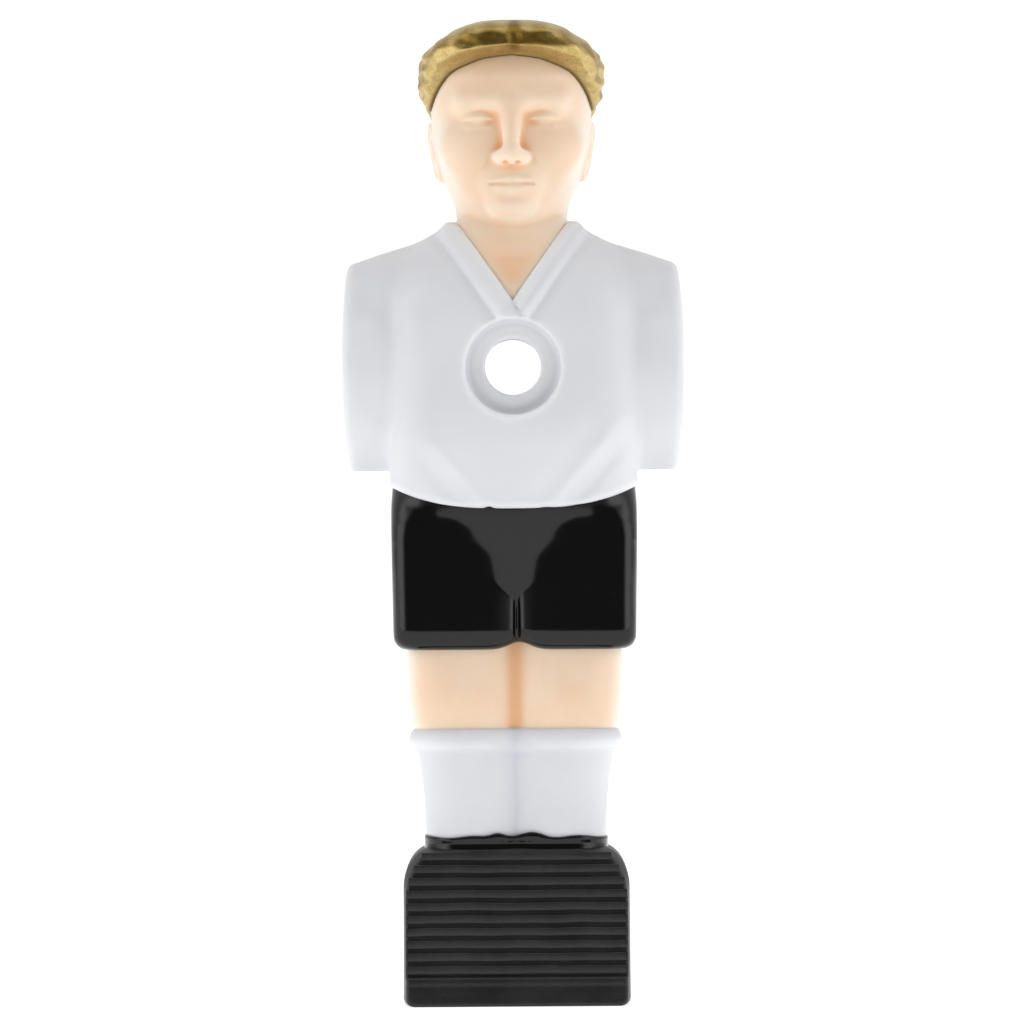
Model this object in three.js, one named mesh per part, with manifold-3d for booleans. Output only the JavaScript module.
// A foosball player: the moulded figure that a screw clamps to a table's steel rod.
// Millimetres. +Z is up, the figure faces -Y, and the origin is the middle of its sole.
// It is moulded in several shots of plastic, each piece keyed into the one before it.

import * as THREE from "three";
import { mergeVertices } from "three/addons/utils/BufferGeometryUtils.js";
import Module from "manifold-3d";

const wasm = await Module();
wasm.setup();

// ---------- driving dimensions ----------

// Two pieces that lie against each other are this far apart.
const FIT_GAP = 0.15;
// Facets that lie within this of one plane are merged.
const FACET_TOLERANCE = 0.01;

// The rod passes through the shoulders, in a boss with this wall round it.
const ROD = { diameter: 16, clearance: 0.2, wall: 3.1, floor: 2.2 };
const SHOULDER_SPAN = 37.4;
const CHEST_WALL = 4.3;

// The screw's hole runs from the chest to the back, where its nut has a pocket.
const SCREW = { hole: 6, headSeat: 10.4, headDepth: 2 };
const NUT = { acrossFlats: 8.3, depth: 2.4 };

// Heights of the zones, stacked up from the sole.
const BLOCK_HEIGHT = 17.2;
const BOOT_CUFF = 1.2;
const SOCK_HEIGHT = 11.8;
const BARE_LEG = 8.9;
const SHORTS_HEIGHT = 15.3;
const HEM_TO_ROD = 15.3;
const ROD_TO_CHIN = 17.4;
const HEAD_HEIGHT = 20.9;

// Both legs together, at four heights. The groove is the depth lost between them.
const THIGH = { width: 23.6, depth: 14 };
const KNEE = { width: 22.7, depth: 13.4 };
const CALF = { width: 19.9, depth: 11.4 };
const ANKLE = { width: 18.5, depth: 10.2 };
const LEG_GROOVE = { share: 0.34, width: 1.9 };
const HIP_TENON = { width: 15, depth: 9, seam: 2 };
const ANKLE_TENON = { floor: 2.4, keyDiameter: 2.6, keyHeight: 4.6, keySeat: 1.6 };

// Socks and boots, over the calf and the ankle.
const SOCK = { wall: 0.75, cuff: 2.3, cuffProud: 1 };
const BOOT = { wall: 0.8, sink: 8.2, flare: 0.2 };

// The kicking block round the boots, deeper at the sole than at the instep.
const BLOCK = { cheek: 2.35, instep: 0.8, soleDepth: 20, topCorner: 3.6, soleCorner: 0.8, draft: 0.45 };
const RIBS = { count: 11, pitch: 1.35, land: 0.7, depth: 0.35, first: 3.2, topMargin: 0.2 };

// Shorts round the thighs, and the waist that goes up inside the jersey.
const SHORTS = { side: 1.45, front: 1.9, sideFlare: 0.25, frontFlare: 0.8, lip: 0.9, groove: 0.1 };
const WAIST = { lap: 1.2, wall: 1.3 };

// The jersey's hem stands proud of the shorts and rises to the sides.
const HEM = { sideProud: 0.1, frontProud: 0.5, rise: 2.5 };
const COLLAR = { wall: 0.9, drop: 9, halfWidth: 5.6, band: 2.2, proud: 0.15, recess: 0.7 };
const SHOULDER_RISE = 3.9;
const COLLAR_RISE = 1.3;
const BIB_THICKNESS = 3.7;

// Neck, head and hair.
const NECK = { width: 12.8, depth: 12.4 };
const HEAD = { width: 18.2, front: 9.6, back: 9.2 };
const HAIR = { thickness: 1.1, sideDrop: 10.1, napeDrop: 15.2, browDrop: 4.4, temple: 0.5 };

// ---------- places worked out from them ----------

const BOOT_TOP = BLOCK_HEIGHT + BOOT_CUFF;
const SOCK_TOP = BOOT_TOP + SOCK_HEIGHT;
const SHORTS_HEM = SOCK_TOP + BARE_LEG;
const JERSEY_HEM = SHORTS_HEM + SHORTS_HEIGHT;
const ROD_Z = JERSEY_HEM + HEM_TO_ROD;
const CHIN = ROD_Z + ROD_TO_CHIN;
const CROWN = CHIN + HEAD_HEIGHT;

const BORE_R = (ROD.diameter + ROD.clearance) / 2;
const BOSS_R = BORE_R + ROD.wall;
const CHEST = BORE_R + CHEST_WALL;
const BORE_FLOOR = ROD_Z - BORE_R - ROD.floor;
const BORE_ROOF = ROD_Z + BORE_R + ROD.floor;
const SHOULDER = ROD_Z + BOSS_R + SHOULDER_RISE;
const COLLAR_TOP = SHOULDER + COLLAR_RISE;

const SHORTS_AT_HEM = { halfWidth: THIGH.width / 2 + SHORTS.side, front: THIGH.depth / 2 + SHORTS.front };
const SHORTS_AT_WAIST = {
  halfWidth: SHORTS_AT_HEM.halfWidth + SHORTS.sideFlare,
  front: SHORTS_AT_HEM.front + SHORTS.frontFlare,
};
const JERSEY_AT_HEM = {
  halfWidth: SHORTS_AT_WAIST.halfWidth + HEM.sideProud,
  front: SHORTS_AT_WAIST.front + HEM.frontProud,
};
const BOOT_HALF_WIDTH = ANKLE.width / 2 + BOOT.wall;
const BOOT_FRONT = ANKLE.depth / 2 + BOOT.wall;
const BLOCK_HALF_WIDTH = BOOT_HALF_WIDTH + BLOCK.cheek;

// ---------- solids ----------

const X = new THREE.Vector3(1, 0, 0);
const Y = new THREE.Vector3(0, 1, 0);
const Z = new THREE.Vector3(0, 0, 1);
const FAR = 400;

function toSolid(geometry) {
  const plain = geometry.clone();
  plain.deleteAttribute("normal");
  plain.deleteAttribute("uv");
  const merged = mergeVertices(plain, 1e-4);
  return new wasm.Manifold(new wasm.Mesh({
    numProp: 3,
    vertProperties: merged.attributes.position.array,
    triVerts: new Uint32Array(merged.index.array),
  }));
}

// A point on a rounded section, where angle runs round from +X and -Y is the front.
function onSection(angle, radius, section) {
  const power = 2 / section.squareness;
  const bent = (value) => (Math.abs(value) < 1e-9 ? 0 : Math.sign(value) * Math.abs(value) ** power);
  const x = section.halfWidth * bent(Math.cos(angle)) * radius;
  const depth = Math.sin(angle) < 0 ? section.front : section.back;
  const lost = section.groove * Math.exp(-((x / LEG_GROOVE.width) ** 2));
  return { x, y: depth * bent(Math.sin(angle)) * radius * (1 - lost) };
}

// A smooth closed solid through sections: {z, halfWidth, front, back, squareness, groove}.
const TRACKS = ["z", "halfWidth", "front", "back", "squareness", "groove"];
const ROUND = 2.4;
function loft(sections, { around = 36, perSpan = 2, grow = 0 } = {}) {
  const filled = sections.map((s) => ({ squareness: ROUND, groove: 0, ...s, back: s.back ?? s.front }));
  const values = filled.flatMap((s) => TRACKS.map((key) => s[key]));
  const result = new Float64Array(TRACKS.length);
  const along = new THREE.CubicInterpolant(filled.map((_, i) => i), values, TRACKS.length, result);
  const spans = filled.length - 1;
  const geometry = new THREE.CylinderGeometry(1, 1, 1, around, spans * perSpan);
  const at = geometry.attributes.position;
  for (let i = 0; i < at.count; i += 1) {
    along.evaluate((at.getY(i) + 0.5) * spans);
    const section = Object.fromEntries(TRACKS.map((key, k) => [key, result[k]]));
    section.halfWidth += grow;
    section.front += grow;
    section.back += grow;
    const radius = Math.min(1, Math.hypot(at.getX(i), at.getZ(i)));
    const point = onSection(Math.atan2(-at.getZ(i), at.getX(i)), radius, section);
    at.setXYZ(i, point.x, point.y, section.z);
  }
  return toSolid(geometry);
}

// An outline drawn in X and Z, made solid from y0 back to y1.
function alongY(shape, y0, y1, steps = 1) {
  const geometry = new THREE.ExtrudeGeometry(shape, {
    depth: y1 - y0, steps, bevelEnabled: false, curveSegments: 8,
  });
  geometry.applyMatrix4(new THREE.Matrix4().makeBasis(X, Z, Y.clone().negate()));
  return geometry.translate(0, y1, 0);
}

// An outline drawn in Y and Z, made solid right across the figure.
function acrossX(shape, halfWidth) {
  const geometry = new THREE.ExtrudeGeometry(shape, {
    depth: 2 * halfWidth, bevelEnabled: false, curveSegments: 8,
  });
  geometry.applyMatrix4(new THREE.Matrix4().makeBasis(Y, Z, X));
  return geometry.translate(-halfWidth, 0, 0);
}

function rodAlongX(radius, length) {
  const geometry = new THREE.CylinderGeometry(radius, radius, length, 48);
  return toSolid(geometry.rotateZ(Math.PI / 2).translate(0, 0, ROD_Z));
}

function pinAlongY(radius, y0, y1, x, z, sides = 32) {
  const geometry = new THREE.CylinderGeometry(radius, radius, y1 - y0, sides);
  return toSolid(geometry.translate(x, (y0 + y1) / 2, z));
}

function ball(width, depth, height, x, y, z) {
  const geometry = new THREE.SphereGeometry(0.5, 12, 8);
  return toSolid(geometry.scale(width, depth, height).translate(x, y, z));
}

function box(x0, x1, z0, z1) {
  const geometry = new THREE.BoxGeometry(x1 - x0, 2 * FAR, z1 - z0);
  return toSolid(geometry.translate((x0 + x1) / 2, 0, (z0 + z1) / 2));
}

// The half of a solid on one side of the middle plane, clear of the other half.
function half(solid, side) {
  const near = FIT_GAP / 2;
  return solid.intersect(side > 0 ? box(near, FAR, -FAR, FAR) : box(-FAR, -near, -FAR, FAR));
}

// ---------- legs ----------

function legSection(z, size, extra = 0, groove = LEG_GROOVE.share) {
  return { z, halfWidth: size.width / 2 + extra, front: size.depth / 2 + extra, groove };
}

// Ankles and shins inside the boots and socks, bare thighs, hips inside the shorts, and a tenon.
function legForm(grow) {
  const lap = 1;
  const hipTop = JERSEY_HEM - HIP_TENON.seam;
  const shin = loft([
    legSection(ANKLE_TENON.floor - grow, ANKLE),
    legSection(BOOT_TOP, ANKLE, 0.1),
    legSection(SOCK_TOP, CALF),
  ], { grow });
  const thigh = loft([
    legSection(SOCK_TOP - grow, KNEE),
    legSection(SHORTS_HEM + lap, THIGH),
  ], { grow });
  const hips = loft([
    legSection(SHORTS_HEM, THIGH),
    legSection(hipTop + grow, THIGH, 0, 0),
  ], { grow });
  const tenon = loft([
    { ...legSection(hipTop - lap, HIP_TENON, 0, 0), squareness: 4 },
    { ...legSection(BORE_FLOOR + grow, HIP_TENON, 0, 0), squareness: 4 },
  ], { grow });
  return shin.add(thigh).add(hips).add(tenon);
}

// The block's plastic runs through each ankle in a short bar, which locks the two together.
function ankleBars(grow) {
  const reach = ANKLE.depth / 2 + ANKLE_TENON.keySeat;
  const radius = ANKLE_TENON.keyDiameter / 2 + grow;
  return [-1, 1].map((side) => pinAlongY(
    radius, -reach, reach, (side * ANKLE.width) / 4, ANKLE_TENON.keyHeight, 16,
  ));
}

function makeLegs() {
  return ankleBars(FIT_GAP).reduce((solid, bar) => solid.subtract(bar), legForm(0));
}

// ---------- boots and socks ----------

function bootForm(grow) {
  return loft([
    legSection(BOOT_TOP - BOOT.sink - grow, ANKLE, BOOT.wall),
    legSection(BOOT_TOP - FIT_GAP, ANKLE, BOOT.wall + BOOT.flare),
  ], { grow });
}

function makeBoots() {
  return bootForm(0).subtract(legForm(FIT_GAP));
}

function makeSocks() {
  const tube = loft([
    legSection(BOOT_TOP, ANKLE, SOCK.wall),
    legSection(SOCK_TOP - FIT_GAP, CALF, SOCK.wall),
  ], { perSpan: 3 });
  const cuffFloor = SOCK_TOP - SOCK.cuff;
  const proud = SOCK.wall + SOCK.cuffProud;
  const cuff = loft([
    legSection(cuffFloor, CALF, SOCK.wall),
    legSection(cuffFloor + SOCK.cuff / 4, CALF, proud),
    legSection(SOCK_TOP - SOCK.cuff / 4, CALF, proud),
    legSection(SOCK_TOP - FIT_GAP, CALF, SOCK.wall + SOCK.cuffProud / 2),
  ], { perSpan: 1 });
  return tube.add(cuff).subtract(legForm(FIT_GAP));
}

// ---------- kicking block ----------

// One side of the block in Y and Z: a slope from the sole to the instep, notched between the ribs.
function ribbedSide(side) {
  const instep = BOOT_FRONT + BLOCK.instep;
  const frontAt = (z) => THREE.MathUtils.lerp(BLOCK.soleDepth / 2, instep, z / BLOCK_HEIGHT);
  const points = [[frontAt(0) - BLOCK.soleCorner, 0], [frontAt(BLOCK.soleCorner), BLOCK.soleCorner]];
  const notch = (RIBS.pitch - RIBS.land) / 2;
  for (let rib = 0; rib < RIBS.count; rib += 1) {
    const z = RIBS.first + rib * RIBS.pitch;
    points.push([frontAt(z - notch), z - notch]);
    points.push([frontAt(z) - RIBS.depth, z]);
    points.push([frontAt(z + notch), z + notch]);
  }
  const below = points.filter(([, z]) => z < BLOCK_HEIGHT - RIBS.topMargin);
  return [...below, [instep, BLOCK_HEIGHT]].map(([y, z]) => new THREE.Vector2(side * y, z));
}

function blockOutline() {
  const { topCorner: top, soleCorner: sole } = BLOCK;
  const shape = new THREE.Shape();
  shape.moveTo(-BLOCK_HALF_WIDTH + sole, 0);
  shape.absarc(BLOCK_HALF_WIDTH - sole, sole, sole, -Math.PI / 2, 0);
  shape.absarc(BLOCK_HALF_WIDTH - top, BLOCK_HEIGHT - top, top, 0, Math.PI / 2);
  shape.absarc(-BLOCK_HALF_WIDTH + top, BLOCK_HEIGHT - top, top, Math.PI / 2, Math.PI);
  shape.absarc(-BLOCK_HALF_WIDTH + sole, sole, sole, Math.PI, 1.5 * Math.PI);
  return shape;
}

function makeKickingBlock() {
  const side = new THREE.Shape([...ribbedSide(1), ...ribbedSide(-1).reverse()]);
  const reach = BLOCK.soleDepth / 2;
  const face = alongY(blockOutline(), -reach, reach, 2);
  const at = face.attributes.position;
  for (let i = 0; i < at.count; i += 1) {
    const drawnIn = (BLOCK.draft * Math.abs(at.getY(i))) / reach;
    at.setX(i, at.getX(i) * (1 - drawnIn / BLOCK_HALF_WIDTH));
  }
  const body = toSolid(acrossX(side, BLOCK_HALF_WIDTH)).intersect(toSolid(face));
  const hollow = body.subtract(bootForm(FIT_GAP)).subtract(legForm(FIT_GAP));
  return ankleBars(0).reduce((solid, bar) => solid.add(bar), hollow);
}

// ---------- shorts ----------

// Everything below the jersey's hem line, which is low in front and rises to the sides.
function belowHemLine(gap) {
  const { halfWidth } = JERSEY_AT_HEM;
  const shape = new THREE.Shape();
  shape.moveTo(-FAR, -FAR);
  shape.lineTo(FAR, -FAR);
  shape.lineTo(FAR, JERSEY_HEM + HEM.rise - gap);
  const steps = 16;
  for (let i = 0; i <= steps; i += 1) {
    const share = 1 - (2 * i) / steps;
    shape.lineTo(share * halfWidth, JERSEY_HEM + HEM.rise * Math.abs(share) ** 3.5 - gap);
  }
  shape.lineTo(-FAR, JERSEY_HEM + HEM.rise - gap);
  return toSolid(alongY(shape, -FAR, FAR));
}

function waistForm(grow) {
  const inside = {
    halfWidth: SHORTS_AT_WAIST.halfWidth - WAIST.wall,
    front: SHORTS_AT_WAIST.front - WAIST.wall,
  };
  return loft([
    { ...inside, z: JERSEY_HEM - 1.5 },
    { ...inside, z: JERSEY_HEM + HEM.rise + WAIST.lap + grow },
  ], { grow });
}

function makeShorts() {
  const inset = {
    halfWidth: SHORTS_AT_HEM.halfWidth - SHORTS.lip,
    front: SHORTS_AT_HEM.front - SHORTS.lip,
  };
  const outer = loft([
    { ...inset, z: SHORTS_HEM, squareness: 2.6, groove: 2 * SHORTS.groove },
    { ...SHORTS_AT_HEM, z: SHORTS_HEM + SHORTS.lip, squareness: 2.6, groove: 1.8 * SHORTS.groove },
    { ...SHORTS_AT_HEM, z: SHORTS_HEM + SHORTS_HEIGHT * 0.4, squareness: 2.6, groove: SHORTS.groove },
    { ...SHORTS_AT_WAIST, z: JERSEY_HEM + HEM.rise, squareness: 2.6 },
  ]);
  return outer.intersect(belowHemLine(FIT_GAP)).add(waistForm(0)).subtract(legForm(FIT_GAP));
}

// ---------- jersey ----------

// The collar's V in X and Z, moved out by a gap or by the width of the collar's band.
function vee(movedOut) {
  const slope = COLLAR.halfWidth / COLLAR.drop;
  const tip = COLLAR_TOP - COLLAR.drop - movedOut / slope;
  const top = CHIN + 1;
  const halfWidth = (top - tip) * slope;
  return new THREE.Shape([
    new THREE.Vector2(0, tip),
    new THREE.Vector2(halfWidth, top),
    new THREE.Vector2(-halfWidth, top),
  ]);
}

function torsoForm(grow) {
  const { halfWidth, front } = JERSEY_AT_HEM;
  const neck = { halfWidth: NECK.width / 2 + COLLAR.wall, front: NECK.depth / 2 + COLLAR.wall };
  return loft([
    { z: JERSEY_HEM - 0.2, halfWidth, front, squareness: 2.6 },
    { z: JERSEY_HEM + 5, halfWidth, front: THREE.MathUtils.lerp(front, CHEST, 0.4), squareness: 2.8 },
    { z: ROD_Z, halfWidth, front: CHEST, squareness: 3.2 },
    { z: ROD_Z + BORE_R, halfWidth: halfWidth - 0.3, front: CHEST - 0.7, squareness: 3 },
    { z: SHOULDER - 3, halfWidth: halfWidth - 2, front: CHEST - 2.2, squareness: 2.6 },
    { z: SHOULDER, halfWidth: neck.halfWidth + 1, front: neck.front + 0.8 },
    { z: COLLAR_TOP, ...neck },
  ], { grow });
}

// The slope from the collar down to the top of each end of the rod boss.
function shoulderYoke() {
  const end = SHOULDER_SPAN / 2 - 0.4;
  const endTop = ROD_Z + BOSS_R - 0.2;
  const neckSide = NECK.width / 2 + COLLAR.wall + 1;
  const bend = { x: end - 3, z: THREE.MathUtils.lerp(endTop, SHOULDER, 0.4) };
  const shape = new THREE.Shape();
  shape.moveTo(-end, ROD_Z);
  shape.lineTo(end, ROD_Z);
  shape.lineTo(end, endTop);
  shape.quadraticCurveTo(bend.x, bend.z, neckSide, SHOULDER - 0.3);
  shape.lineTo(-neckSide, SHOULDER - 0.3);
  shape.quadraticCurveTo(-bend.x, bend.z, -end, endTop);
  const rounded = loft([
    { z: ROD_Z - 1, halfWidth: end + 2, front: BOSS_R - 0.2, squareness: 6 },
    { z: ROD_Z + BOSS_R / 2, halfWidth: end + 2, front: BOSS_R - 1.4, squareness: 6 },
    { z: SHOULDER + 0.5, halfWidth: end + 2, front: BOSS_R - 6, squareness: 5 },
  ]);
  return toSolid(alongY(shape, -BOSS_R, BOSS_R)).intersect(rounded);
}

function makeJersey() {
  const band = toSolid(alongY(vee(COLLAR.band), -FAR, -NECK.depth / 4));
  const solid = torsoForm(0)
    .subtract(belowHemLine(0))
    .add(rodAlongX(BOSS_R, SHOULDER_SPAN))
    .add(shoulderYoke())
    .add(band.intersect(torsoForm(COLLAR.proud)));
  return solid
    .subtract(rodAlongX(BORE_R, SHOULDER_SPAN + 2))
    .subtract(pinAlongY(SCREW.hole / 2, -FAR, FAR, 0, ROD_Z))
    .subtract(pinAlongY(SCREW.headSeat / 2, -FAR, -CHEST + SCREW.headDepth, 0, ROD_Z))
    .subtract(pinAlongY(NUT.acrossFlats / Math.sqrt(3), CHEST - NUT.depth, FAR, 0, ROD_Z, 6))
    .subtract(neckForm(FIT_GAP))
    .subtract(bibForm(FIT_GAP))
    .subtract(waistForm(FIT_GAP))
    .subtract(legForm(FIT_GAP));
}

// ---------- head and hair ----------

// The neck, from its plug over the bore up into the head.
function neckForm(grow) {
  const width = { halfWidth: NECK.width / 2, front: NECK.depth / 2 };
  return loft([
    { ...width, z: BORE_ROOF - grow },
    { ...width, z: COLLAR_TOP + grow },
    { ...width, z: CHIN + 5 },
  ], { grow });
}

// The bare skin inside the collar's V: a tongue in front of the bore, joined to the neck above it.
function bibForm(grow) {
  const tongue = toSolid(alongY(vee(grow), -FAR, -CHEST + COLLAR.recess + BIB_THICKNESS + grow));
  const throat = toSolid(alongY(vee(grow), -FAR, 0)).intersect(box(-FAR, FAR, BORE_ROOF - grow, FAR));
  return tongue.add(throat);
}

const HEAD_SHAPE = [
  { share: 0, halfWidth: 5, front: 7.2, back: 4.6 },
  { share: 0.08, halfWidth: 6.8, front: 8.8, back: 5.8 },
  { share: 0.25, inset: 0.6, frontInset: 0.2, backInset: 1.6 },
  { share: 0.5, inset: 0, frontInset: 0, backInset: 0.2 },
  { share: 0.72, inset: 0, frontInset: 0.4, backInset: 0 },
  { share: 0.86, inset: 1.2, frontInset: 1.8, backInset: 1 },
  { share: 0.95, inset: 4, frontInset: 4.2, backInset: 3.6 },
];

function headForm(grow) {
  const sections = HEAD_SHAPE.map((s) => ({
    z: CHIN - grow + (HEAD_HEIGHT + grow) * s.share,
    halfWidth: s.halfWidth ?? HEAD.width / 2 - s.inset,
    front: s.front ?? HEAD.front - s.frontInset,
    back: s.back ?? HEAD.back - s.backInset,
  }));
  const cap = { z: CROWN - HAIR.thickness + grow, halfWidth: 1.5, front: 1.5 };
  return loft([...sections, cap], { grow });
}

function makeHead() {
  const eyeLine = CHIN + HEAD_HEIGHT / 2;
  const nose = ball(3, 3.8, 6, 0, -HEAD.front + 0.6, eyeLine - 3.4);
  const ears = [-1, 1].map((side) => ball(1.7, 3.8, 6.4, (side * HEAD.width) / 2, 0.8, eyeLine - 3));
  const bib = bibForm(0).intersect(torsoForm(-COLLAR.recess));
  return headForm(0).add(nose).add(ears[0]).add(ears[1]).add(neckForm(0)).add(bib);
}

function makeHair() {
  const brow = CROWN - HAIR.browDrop;
  const sideTip = CROWN - HAIR.sideDrop;
  const temple = HEAD.width / 2 - HAIR.temple;
  const face = new THREE.Shape();
  face.moveTo(-temple - 0.3, 0);
  face.lineTo(temple + 0.3, 0);
  face.lineTo(temple, sideTip);
  face.bezierCurveTo(temple - 1, brow - 1.2, temple / 2, brow, 0, brow);
  face.bezierCurveTo(-temple / 2, brow, -temple + 1, brow - 1.2, -temple, sideTip);
  const nape = CROWN - HAIR.napeDrop;
  const belowHair = new THREE.Shape([
    new THREE.Vector2(-FAR, 0),
    new THREE.Vector2(FAR, 0),
    new THREE.Vector2(FAR, nape),
    new THREE.Vector2(HEAD.back / 2 + 2, nape),
    new THREE.Vector2(HEAD.back / 2 - 2, sideTip),
    new THREE.Vector2(-FAR, sideTip),
  ]);
  return headForm(HAIR.thickness)
    .subtract(headForm(FIT_GAP))
    .subtract(toSolid(alongY(face, -FAR, -1.5)))
    .subtract(toSolid(acrossX(belowHair, FAR)));
}

// ---------- the figure ----------

const skin = new THREE.MeshStandardMaterial({ color: 0xefcfae, roughness: 0.45 });
const white = new THREE.MeshStandardMaterial({ color: 0xe9eaee, roughness: 0.4 });
const glossBlack = new THREE.MeshStandardMaterial({ color: 0x0b0b0c, roughness: 0.08 });
const satinBlack = new THREE.MeshStandardMaterial({ color: 0x161718, roughness: 0.35 });
const gold = new THREE.MeshStandardMaterial({ color: 0xb08d3c, roughness: 0.4, metalness: 0.6 });

function node(name, solid, material) {
  const { numProp, vertProperties, triVerts } = solid.simplify(FACET_TOLERANCE).getMesh();
  const geometry = new THREE.BufferGeometry();
  const interleaved = new THREE.InterleavedBuffer(vertProperties, numProp);
  geometry.setAttribute("position", new THREE.InterleavedBufferAttribute(interleaved, 3, 0));
  geometry.setIndex(new THREE.BufferAttribute(triVerts, 1));
  const mesh = new THREE.Mesh(geometry, material.clone());
  mesh.name = name;
  return mesh;
}

const boots = makeBoots();
const socks = makeSocks();
const figure = new THREE.Group();
figure.add(
  node("head", makeHead(), skin),
  node("hair", makeHair(), gold),
  node("jersey", makeJersey(), white),
  node("shorts", makeShorts(), glossBlack),
  node("legs", makeLegs(), skin),
  node("sock_right", half(socks, -1), white),
  node("sock_left", half(socks, 1), white),
  node("boot_right", half(boots, -1), glossBlack),
  node("boot_left", half(boots, 1), glossBlack),
  node("kicking_block", makeKickingBlock(), satinBlack),
);

export default figure;
